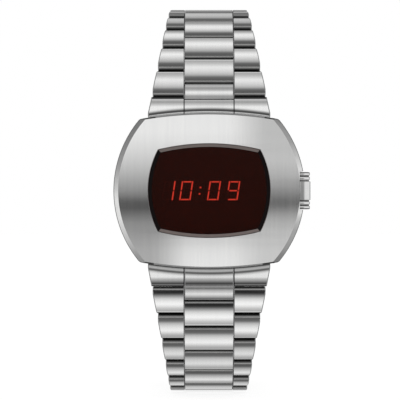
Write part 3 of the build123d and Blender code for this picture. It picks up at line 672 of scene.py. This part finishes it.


# Grey, dark and nearly black round edges: painted shade that draws the outlines
grey_edge_shade = plain_finish("grey_edge_shade", (0.22, 0.22, 0.22), (0.27, 0.27, 0.27), 0.5, 0.6, shine=0.1)
dark_edge_shade = plain_finish("dark_edge_shade", (0.10, 0.10, 0.10), (0.13, 0.13, 0.13), 0.5, 0.6, shine=0.1)
shade_steel = plain_finish("shade_steel", (0.025, 0.025, 0.025), (0.04, 0.04, 0.04), 0.5, 0.6, shine=0.1)
print("drawn lines:", grey_edge_shade.name, dark_edge_shade.name, shade_steel.name)

# %% A finish for each node
moulded_grain = 0.01 * mm
soft_turn = 0.5
near_black = ((0.012, 0.004, 0.002), (0.016, 0.006, 0.004))
finishes = {
    "case_steel": case_steel,
    "link_steel": link_steel,
    "clasp_steel": clasp_steel,
    "blade_steel": brushed_steel(
        "blade_steel", (0.70, 0.70, 0.70), (0.82, 0.82, 0.81), 0.18, 0.28, turned=soft_turn,
    ),
    "back_steel": brushed_steel(
        "back_steel", (0.72, 0.72, 0.72), (0.80, 0.80, 0.79), 0.20, 0.26, turned=soft_turn,
    ),
    "bright_metal": bright_metal,
    "dark_crystal": crystal_glass,
    "black_rubber": plain_finish("black_rubber", *near_black, 0.6, 0.8, height=moulded_grain),
    "black_plastic": plain_finish("black_plastic", *near_black, 0.6, 0.8, height=moulded_grain),
    "green_board": plain_finish("green_board", (0.01, 0.12, 0.04), (0.02, 0.18, 0.06), 0.3, 0.4),
    "dark_ceramic": plain_finish("dark_ceramic", *near_black, 0.6, 0.8),
    "red_light": red_light,
    "dark_segment": plain_finish("dark_segment", (0.04, 0.01, 0.01), (0.06, 0.015, 0.012), 0.3, 0.4),
    "black_resin": plain_finish("black_resin", (0.012, 0.012, 0.012), (0.02, 0.02, 0.02), 0.3, 0.4),
    "gold_contact": plain_finish(
        "gold_contact", (0.75, 0.52, 0.2), (0.85, 0.62, 0.25), 0.2, 0.3, metallic=1.0,
    ),
}
slot_of_node = {part["node"]: part["material_slot"] for part in frame["record"]["subparts"]}
for node, slot_name in slot_of_node.items():
    nodes[node].data.materials.clear()
    nodes[node].data.materials.append(finishes[slot_name])
print("finishes:", len(finishes))

# %% [markdown]
# ## Rounding the edges that catch light
# No machined part has a perfectly sharp edge, and it is the small round edge that draws each link in
# a bright or dark line. The CAD solids are sharp, so each visible steel part is copied, its loose
# triangles are joined into real faces, and chosen edges are bevelled. The copy then stands for the
# CAD node. A round edge only cuts material away, so nothing grows.

# %% Copies with real faces
same_plane = math.radians(0.4)
weld_distance = 0.001 * mm


def take_up(piece):
    """Makes this piece the only one that operators act on."""
    bpy.ops.object.select_all(action="DESELECT")
    piece.select_set(True)
    bpy.context.view_layer.objects.active = piece


def faced_copy(node, finish_list):
    """Copy of a CAD node with its triangles joined into flat faces."""
    piece = bpy.data.objects.new(node + "_dressed", nodes[node].data.copy())
    bpy.context.scene.collection.objects.link(piece)
    piece.data.materials.clear()
    for finish in finish_list:
        piece.data.materials.append(finish)
    take_up(piece)
    bpy.ops.mesh.customdata_custom_splitnormals_clear()
    bpy.ops.object.mode_set(mode="EDIT")
    bpy.ops.mesh.select_all(action="SELECT")
    bpy.ops.mesh.remove_doubles(threshold=weld_distance)
    bpy.ops.mesh.dissolve_limited(angle_limit=same_plane)
    bpy.ops.object.mode_set(mode="OBJECT")
    return piece


print("points closer than", weld_distance / mm, "mm are joined")

# %% Round edges
# Blender's own clamp narrows all edges to what the tightest one allows. So where lines of one width
# are wanted, it is off, and the few edges without room stay sharp.
sharp_angle = math.radians(33)
same_run = 0.8


def middle_of(edge):
    """Middle of an edge."""
    return (edge.verts[0].co + edge.verts[1].co) / 2


def run_of(edge):
    """Direction of an edge."""
    return (edge.verts[1].co - edge.verts[0].co).normalized()


def has_room(edge, chosen, width):
    """True when the edges that meet its ends leave space for its round edge."""
    for vertex in edge.verts:
        for other in vertex.link_edges:
            goes_on = other in chosen and abs(run_of(edge).dot(run_of(other))) > same_run
            if not goes_on and other != edge and other.calc_length() < 2 * width:
                return False
    return True


def round_edges(piece, wanted, width, segments, finish, clamp=False):
    """Bevels the sharp edges that wanted accepts, and gives the new faces a finish of the piece."""
    take_up(piece)
    bpy.ops.object.mode_set(mode="EDIT")
    bpy.ops.mesh.select_mode(type="EDGE")
    bpy.ops.mesh.select_all(action="DESELECT")
    shape = bmesh.from_edit_mesh(piece.data)
    inner = [edge for edge in shape.edges if len(edge.link_faces) == 2]
    chosen = {edge for edge in inner if edge.calc_face_angle() > sharp_angle and wanted(edge)}
    if not clamp:
        chosen = {edge for edge in chosen if has_room(edge, chosen, width)}
    for edge in chosen:
        edge.select_set(True)
    bmesh.update_edit_mesh(piece.data)
    if chosen:
        bpy.ops.mesh.bevel(
            offset_type="OFFSET", offset=width, segments=segments, profile=0.5, affect="EDGES",
            clamp_overlap=clamp, material=finish,
        )
    count = len(chosen)
    bpy.ops.object.mode_set(mode="OBJECT")
    return count


print("edges are sharp from", round(math.degrees(sharp_angle)), "degrees")

# %% Smoothing and handing over
smooth_angle = math.radians(35)
body_of_node = {
    name: body for body, members in frame["record"]["behaviour"]["bodies"].items() for name in members
}


def smooth_faces(piece):
    """Smooth shading in which the large faces stay flat and the small edge faces turn between them."""
    take_up(piece)
    bpy.ops.object.shade_smooth_by_angle(angle=smooth_angle)
    bpy.ops.object.modifier_add(type="WEIGHTED_NORMAL")
    weighted = piece.modifiers[-1]
    weighted.mode = "FACE_AREA"
    weighted.weight = 100
    weighted.keep_sharp = True
    bpy.ops.object.modifier_apply(modifier=weighted.name)


def finish_copy(piece, node):
    """Smooths the piece and lets it stand for its node."""
    smooth_faces(piece)
    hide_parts(node)
    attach(piece, body_of_node[node])


print("nodes with a body:", len(body_of_node))

# %% [markdown]
# ## Bracelet links
# Each link is brushed on its crowned top, with painted light and shade along it, milled duller on the
# end walls that face its neighbours, with painted shade down into the gap, and polished at its sides,
# with a painted highlight. The ends of the top roll over in wide round edges, the near one wider
# than the far one. The edges of the sides carry a grey painted shade, so they draw the bracelet's
# outline, and the grooves beside the centre column carry a dark painted shade.

# %% Where each link lies
def hinge_places(side, last):
    """Places of one half's hinges, from the case to its free end."""
    found = {j["child"]: Vector(j["pos_m"]) for j in frame["joints"] if "pos_m" in j}
    names = sorted(name for name in found if name.startswith(side + "_link"))
    return [found[name] for name in names] + [last]


bar_low, bar_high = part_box("open_bar_ends")
upper_hinges = hinge_places("upper", (bar_low + bar_high) / 2)
clasp_hinge = next(Vector(j["pos_m"]) for j in frame["joints"] if j["name"] == "clasp_bar_hinge")
lower_hinges = hinge_places("lower", clasp_hinge)
print("hinges:", len(upper_hinges), len(lower_hinges))

# %% Link sizes
near_rounding = 0.60 * mm
far_rounding = 0.25 * mm
side_rounding = 0.20 * mm
groove_rounding = 0.16 * mm
pin_clearing = 0.72 * mm
top_height = 0.5 * mm
top_length = 5.75 * mm
outer_near = -1.40 * mm
centre_near = 1.55 * mm
half_thickness = 1.4 * mm
# A face or an edge lies along a direction when this share of it does
level = 0.9
upper_side = 1
lower_side = -1


def near_end(place):
    """Where the top of a link starts, seen from its hinge: its centre piece lies further on."""
    return centre_near if abs(place.x) < column_edge else outer_near


def map_along(piece, start, along, up):
    """UV map of a link: U is its height, V the way along its top from the end near the case."""
    layer = piece.data.uv_layers.new(name="along_link")
    for loop in piece.data.loops:
        place = piece.data.vertices[loop.vertex_index].co
        height = (place - start).dot(up) / half_thickness
        way = ((place - start).dot(along) - near_end(place)) / top_length
        layer.data[loop.index].uv = ((height + 1) / 2, way)


link_roundings = (near_rounding, far_rounding, side_rounding, groove_rounding)
print("round edges of a link in mm:", [round(width / mm, 2) for width in link_roundings])


# %% Dress the links
def dress_link(node, start, end, turn):
    """Link with rolled ends, eased sides and a finish for each kind of face."""
    top, wall, side, groove, rim = range(5)
    along = (end - start).normalized()
    up = Vector((0, -along.z, along.y)) * turn
    piece = faced_copy(node, [link_steel, milled_shaded_steel, link_side_steel, dark_shade_steel, grey_edge_shade])

    def far_from_pins(place):
        return all((place - hinge - Vector((place.x, 0, 0))).length > pin_clearing for hinge in (start, end))

    for face in piece.data.polygons:
        free = far_from_pins(face.center)
        if abs(face.normal.x) > level:
            face.material_index = groove if abs(face.center.x) < column_edge + side_rounding else side
        elif abs(face.normal.dot(along)) > level and free:
            face.material_index = wall
        elif (face.center - start).dot(up) < 0:
            face.material_index = wall if free and face.normal.dot(up) > -level else top

    def top_end(edge, near):
        middle = middle_of(edge)
        is_near = (middle - start).dot(along) - near_end(middle) < top_length / 2
        return abs(run_of(edge).x) > level and (middle - start).dot(up) > top_height and is_near == near

    def outside(edge):
        return far_from_pins(middle_of(edge))

    def silhouette(edge):
        at_side = any(abs(face.normal.x) > level for face in edge.link_faces)
        return outside(edge) and at_side and abs(middle_of(edge).x) > column_edge + mm

    round_edges(piece, lambda edge: top_end(edge, True), near_rounding, 4, wall, clamp=True)
    round_edges(piece, lambda edge: top_end(edge, False), far_rounding, 3, top, clamp=True)
    round_edges(piece, silhouette, side_rounding, 2, rim)
    round_edges(piece, outside, groove_rounding, 2, rim, clamp=True)
    map_along(piece, start, along, up)
    finish_copy(piece, node)


dressed_links = 0
for side, hinges, turn in (("upper", upper_hinges, upper_side), ("lower", lower_hinges, lower_side)):
    for number in range(1, len(hinges)):
        dress_link(f"{side}_link_{number:02d}", hinges[number - 1], hinges[number], turn)
        dressed_links += 1
print("dressed links:", dressed_links)

# %% [markdown]
# ## End links
# An end link fills the gap between the case and the bracelet. It is brushed and carries painted light and
# shade like a link, its sides are polished with a painted reflection, and its outer edges are eased with a
# grey painted shade. The edge that lies against the case stays sharp, because there the case's own edge
# draws the line.

# %% Dress the end links
end_link_start = 0.6 * mm


def dress_end_link(node, hinge, turn):
    """End link with eased edges and its own shading from the case to its first hinge."""
    wall, side, rim = range(1, 4)
    piece = faced_copy(node, [end_link_steels[node], milled_shaded_steel, side_steel, grey_edge_shade])
    case_edge = case_box[1].z if turn == upper_side else -case_box[0].z
    for face in piece.data.polygons:
        if abs(face.normal.x) > level:
            face.material_index = side
        elif face.normal.y > 0:
            face.material_index = wall

    def outside(edge):
        middle = middle_of(edge)
        from_hinge = (middle - hinge - Vector((middle.x, 0, 0))).length
        past_curve = abs(middle.z) - case_edge + 0.5 * middle.x ** 2 / case_edge_radius
        return middle.y < hinge.y and from_hinge > pin_clearing and past_curve > end_link_start

    count = round_edges(piece, outside, side_rounding, 2, rim)
    # The milled walls' painted shade reads their height from a UV map, and here it is set to full light
    layer = piece.data.uv_layers.new(name="along_link")
    for loop in piece.data.loops:
        layer.data[loop.index].uv = (1, 0.5)
    finish_copy(piece, node)
    print(node, "edges:", count)


dress_end_link("end_link_upper", upper_hinges[0], upper_side)
dress_end_link("end_link_lower", lower_hinges[0], lower_side)

# %% [markdown]
# ## Case
# The case front is brushed, with painted light and shade, and its bevels and walls are polished, with
# painted shade on the bevels and a painted reflection on the walls. Its outline is a dark line, which is a
# round edge of 0.22 mm with painted shade in its colour. Beside the bracelet that painted shade is nearly
# black, and round the window and along the end links it is finer and grey. The notch for the pusher stays
# sharp.

# %% Case sizes
bracelet_half = 11.7 * mm
notch_half = 4.3 * mm
front_half_height = 13 * mm
window_reach_x = 13.3 * mm
window_reach_z = 10.4 * mm
outline_width = 0.22 * mm
fine_width = 0.10 * mm
# How much of a face's normal points to the front, to the side or outwards
front_level = 0.93
bevel_lean = 0.3
side_lean = 0.2
end_lean = 0.5
outward_share = 0.1
print("outline in mm:", round(outline_width / mm, 2), "fine lines:", round(fine_width / mm, 2))


# %% Dress the case
def dress_case():
    """Case with a brushed front, polished bevels and eased edges."""
    wall, back, rim, bevel, line, shade = range(1, 7)
    piece = faced_copy("case_body", [
        case_steel, side_steel, finishes["back_steel"], grey_edge_shade, bevel_steel, dark_edge_shade, shade_steel,
    ])

    def beside_bracelet(place):
        return abs(place.x) > bracelet_half and abs(place.z) > front_half_height

    for face in piece.data.polygons:
        leans = -front_level < face.normal.y < -bevel_lean
        if face.normal.y > -front_level:
            face.material_index = bevel if leans and abs(face.normal.x) > side_lean else wall
        if leans and abs(face.center.z) > front_half_height and abs(face.normal.x) < end_lean:
            face.material_index = shade if beside_bracelet(face.center) else rim
        if face.normal.y > level:
            face.material_index = back

    def front_edge(edge):
        return all(vertex.co.y < case_front_y / 2 for vertex in edge.verts)

    def outline_edge(edge):
        middle = middle_of(edge)
        in_notch = middle.x > 0 and abs(middle.z) < notch_half
        seen = any(face.normal.y < -bevel_lean for face in edge.link_faces)
        walls = [face for face in edge.link_faces if abs(face.normal.y) < bevel_lean]
        outward = any(face.normal.dot(middle) > outward_share * middle.length for face in walls)
        return front_edge(edge) and seen and outward and not in_notch

    def drawn_edge(edge):
        middle = middle_of(edge)
        return outline_edge(edge) and (beside_bracelet(middle) or abs(middle.z) < front_half_height)

    def window_edge(edge):
        return front_edge(edge) and all(
            abs(vertex.co.x) < window_reach_x and abs(vertex.co.z) < window_reach_z for vertex in edge.verts
        )

    # Round edges in grey and dark painted shade: the window, the drawn outline and the fine outline
    count = round_edges(piece, window_edge, fine_width, 2, rim)
    count += round_edges(piece, drawn_edge, outline_width, 2, line)
    count += round_edges(piece, outline_edge, fine_width, 2, rim)
    # Beside the bracelet the drawn outline takes the nearly black painted shade
    for face in piece.data.polygons:
        if face.material_index == line and beside_bracelet(face.center) and abs(face.normal.x) < end_lean:
            face.material_index = shade
    finish_copy(piece, "case_body")
    return count


print("case edges:", dress_case())

# %% [markdown]
# ## Crystal
# The crystal is dark glass with a ground rim. Above and below, the rim is painted brown grey as a
# reflection, and at the sides it is painted black as shade. Its back is lifted off its gasket by a hair
# of air, so that no two surfaces share one place.

# %% Dress the crystal
seat_air = 0.02 * mm
same_height = 0.01 * mm
crystal_rounding = 0.05 * mm


def any_edge(edge):
    """Accepts every sharp edge."""
    return True


def dress_crystal():
    """Crystal with a painted brown grey reflection on its rims above and below and painted black shade at
    its sides.
    """
    reflection_rim, black = range(1, 3)
    piece = faced_copy("crystal", [
        crystal_glass,
        plain_finish("rim_painted_reflection", (0.10, 0.078, 0.072), (0.14, 0.11, 0.10), 0.3, 0.4),
        plain_finish("black_rim", (0.004, 0.003, 0.003), (0.008, 0.006, 0.006), 0.3, 0.4, shine=0.02),
    ])
    # Rims facing up or down get a painted reflection, rims facing the sides a painted black shade
    for face in piece.data.polygons:
        if -level < face.normal.y < -bevel_lean:
            face.material_index = reflection_rim if abs(face.normal.z) > abs(face.normal.x) else black
    count = round_edges(piece, any_edge, crystal_rounding, 2, black)
    back_y = max(vertex.co.y for vertex in piece.data.vertices)
    for vertex in piece.data.vertices:
        if vertex.co.y > back_y - same_height:
            vertex.co.y -= seat_air
    finish_copy(piece, "crystal")
    return count


print("crystal edges:", dress_crystal())

# %% [markdown]
# ## Clasp, buttons and back
# The smaller steel parts only need their edges eased. One function takes each part with its finish,
# the finish of its edges and their width.

# %% Dress the smaller parts
def dress_small(node, finish, edge_finish, width):
    """Part with all its sharp edges eased."""
    piece = faced_copy(node, [finish, edge_finish])
    count = round_edges(piece, any_edge, width, 2, 1)
    finish_copy(piece, node)
    print(node, "edges:", count, "faces:", len(piece.data.polygons))


small_parts = (
    ("clasp_cover", clasp_steel, edge_steel, 0.12 * mm),
    ("blade_outer", finishes["blade_steel"], edge_steel, 0.08 * mm),
    ("blade_inner", finishes["blade_steel"], edge_steel, 0.08 * mm),
    ("release_button_right", bright_metal, edge_steel, 0.06 * mm),
    ("release_button_left", bright_metal, edge_steel, 0.06 * mm),
    ("case_back", finishes["back_steel"], edge_steel, 0.08 * mm),
)
for small_part in small_parts:
    dress_small(*small_part)

# %% [markdown]
# ## Pusher
# The pusher's cap is a turned bar with a bright grip in its middle and two grooves near each end.
# Its rings are eased, and its grooves, ring walls and ends carry painted shade, so that each groove
# shows as a dark line between two light ones; the upper inner groove takes a lighter grey painted shade.

# %% Dress the pusher
cap_depth = 1.5 * mm
cap_end = 3.9 * mm
cap_grooves = ((2.0 * mm, 2.35 * mm), (2.95 * mm, 3.3 * mm))
inner_groove_end = 2.5 * mm
end_rounding = 0.25 * mm
ring_rounding = 0.06 * mm


def dress_pusher():
    """Pusher with painted shade in its grooves and at its ends round a bright grip."""
    dark, rim = range(1, 3)
    piece = faced_copy("pusher", [bright_metal, dark_shade_steel, grey_edge_shade])
    # Grooves, ring walls and ends take painted shade; the upper inner groove a lighter grey one
    for face in piece.data.polygons:
        away = abs(face.center.z)
        if any(start < away < end for start, end in cap_grooves):
            face.material_index = rim if away < inner_groove_end and face.center.z > 0 else dark
        elif abs(face.normal.z) > level:
            face.material_index = dark

    def ring(edge):
        first, second = (vertex.co for vertex in edge.verts)
        return first.x > case_box[1].x - cap_depth and abs(abs(second.z) - abs(first.z)) < same_height

    def end_ring(edge):
        return ring(edge) and abs(edge.verts[0].co.z) > cap_end

    count = round_edges(piece, end_ring, end_rounding, 3, dark)
    count += round_edges(piece, ring, ring_rounding, 2, rim)
    finish_copy(piece, "pusher")
    return count


print("pusher edges:", dress_pusher())

# %% [markdown]
# ## Case back screws
# Four small screws hold the case back. A screw head is turned: a cylinder whose rim is bevelled. The
# slot is sawn into it, which here means that a band of the top is pushed down between two cuts.

# %% Screw sizes
screw_x = 14.6 * mm
screw_z = 9.6 * mm
head_sides = 32
head_radius = 0.92 * mm
head_top_y = -0.10 * mm
head_low_y = -0.74 * mm
head_rounding = 0.04 * mm
shank_radius = 0.52 * mm
shank_end_y = -3.30 * mm
# Each cut moves to the corners of the rim beside it, which lie 0.18 mm from the middle
slot_half = 0.13 * mm
slot_depth = 0.28 * mm
rim_y = head_top_y - slot_depth / 2
print("screw length in mm:", round((head_top_y - shank_end_y) / mm, 2))


# %% Make a screw
def choose_faces(piece, wanted):
    """Selects the faces that wanted accepts, in edit mode."""
    bpy.ops.mesh.select_all(action="DESELECT")
    shape = bmesh.from_edit_mesh(piece.data)
    for face in shape.faces:
        if wanted(face):
            face.select_set(True)
    bmesh.update_edit_mesh(piece.data)


def make_screw():
    """Slotted screw along Y, with its head towards the wrist."""
    bpy.ops.object.select_all(action="DESELECT")
    bpy.ops.mesh.primitive_cylinder_add(
        vertices=head_sides, radius=head_radius, depth=head_top_y - head_low_y, end_fill_type="NGON",
        location=(0, (head_top_y + head_low_y) / 2, 0), rotation=(math.radians(90), 0, 0),
    )
    screw = bpy.context.object
    screw.name = "case_back_screw"
    bpy.ops.object.transform_apply(location=True, rotation=True, scale=True)
    bpy.ops.object.mode_set(mode="EDIT")
    bpy.ops.mesh.select_mode(type="FACE")
    choose_faces(screw, lambda face: face.normal.y < -level)
    bpy.ops.mesh.inset(thickness=head_radius - shank_radius, depth=0)
    bpy.ops.mesh.extrude_region_move(
        TRANSFORM_OT_translate={"value": (0, shank_end_y - head_low_y, 0)},
    )
    for side in (-1, 1):
        bpy.ops.mesh.select_all(action="SELECT")
        bpy.ops.mesh.bisect(plane_co=(0, 0, side * slot_half), plane_no=(0, 0, 1))
    bpy.ops.mesh.select_mode(type="FACE")
    choose_faces(screw, lambda face: face.normal.y > level and abs(face.calc_center_median().z) < slot_half)
    bpy.ops.mesh.extrude_region_move(TRANSFORM_OT_translate={"value": (0, -slot_depth, 0)})
    bpy.ops.mesh.select_all(action="SELECT")
    bpy.ops.mesh.normals_make_consistent(inside=False)
    bpy.ops.object.mode_set(mode="OBJECT")
    screw.data.materials.append(bright_metal)
    screw.data.materials.append(edge_steel)
    round_edges(screw, lambda edge: all(vertex.co.y > rim_y for vertex in edge.verts), head_rounding, 2, 1)
    smooth_faces(screw)
    return screw


screws = [make_screw()]
print("screw faces:", len(screws[0].data.polygons))

# %% Place the screws
screw_places = [(x, z) for x in (-screw_x, screw_x) for z in (-screw_z, screw_z)]
for number in range(2, len(screw_places) + 1):
    screws.append(bpy.data.objects.new(f"case_back_screw_{number}", screws[0].data.copy()))
    bpy.context.scene.collection.objects.link(screws[-1])
for screw, (x, z) in zip(screws, screw_places):
    for vertex in screw.data.vertices:
        vertex.co.x += x
        vertex.co.z += z
    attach(screw, "case")
print("screws:", len(screws))
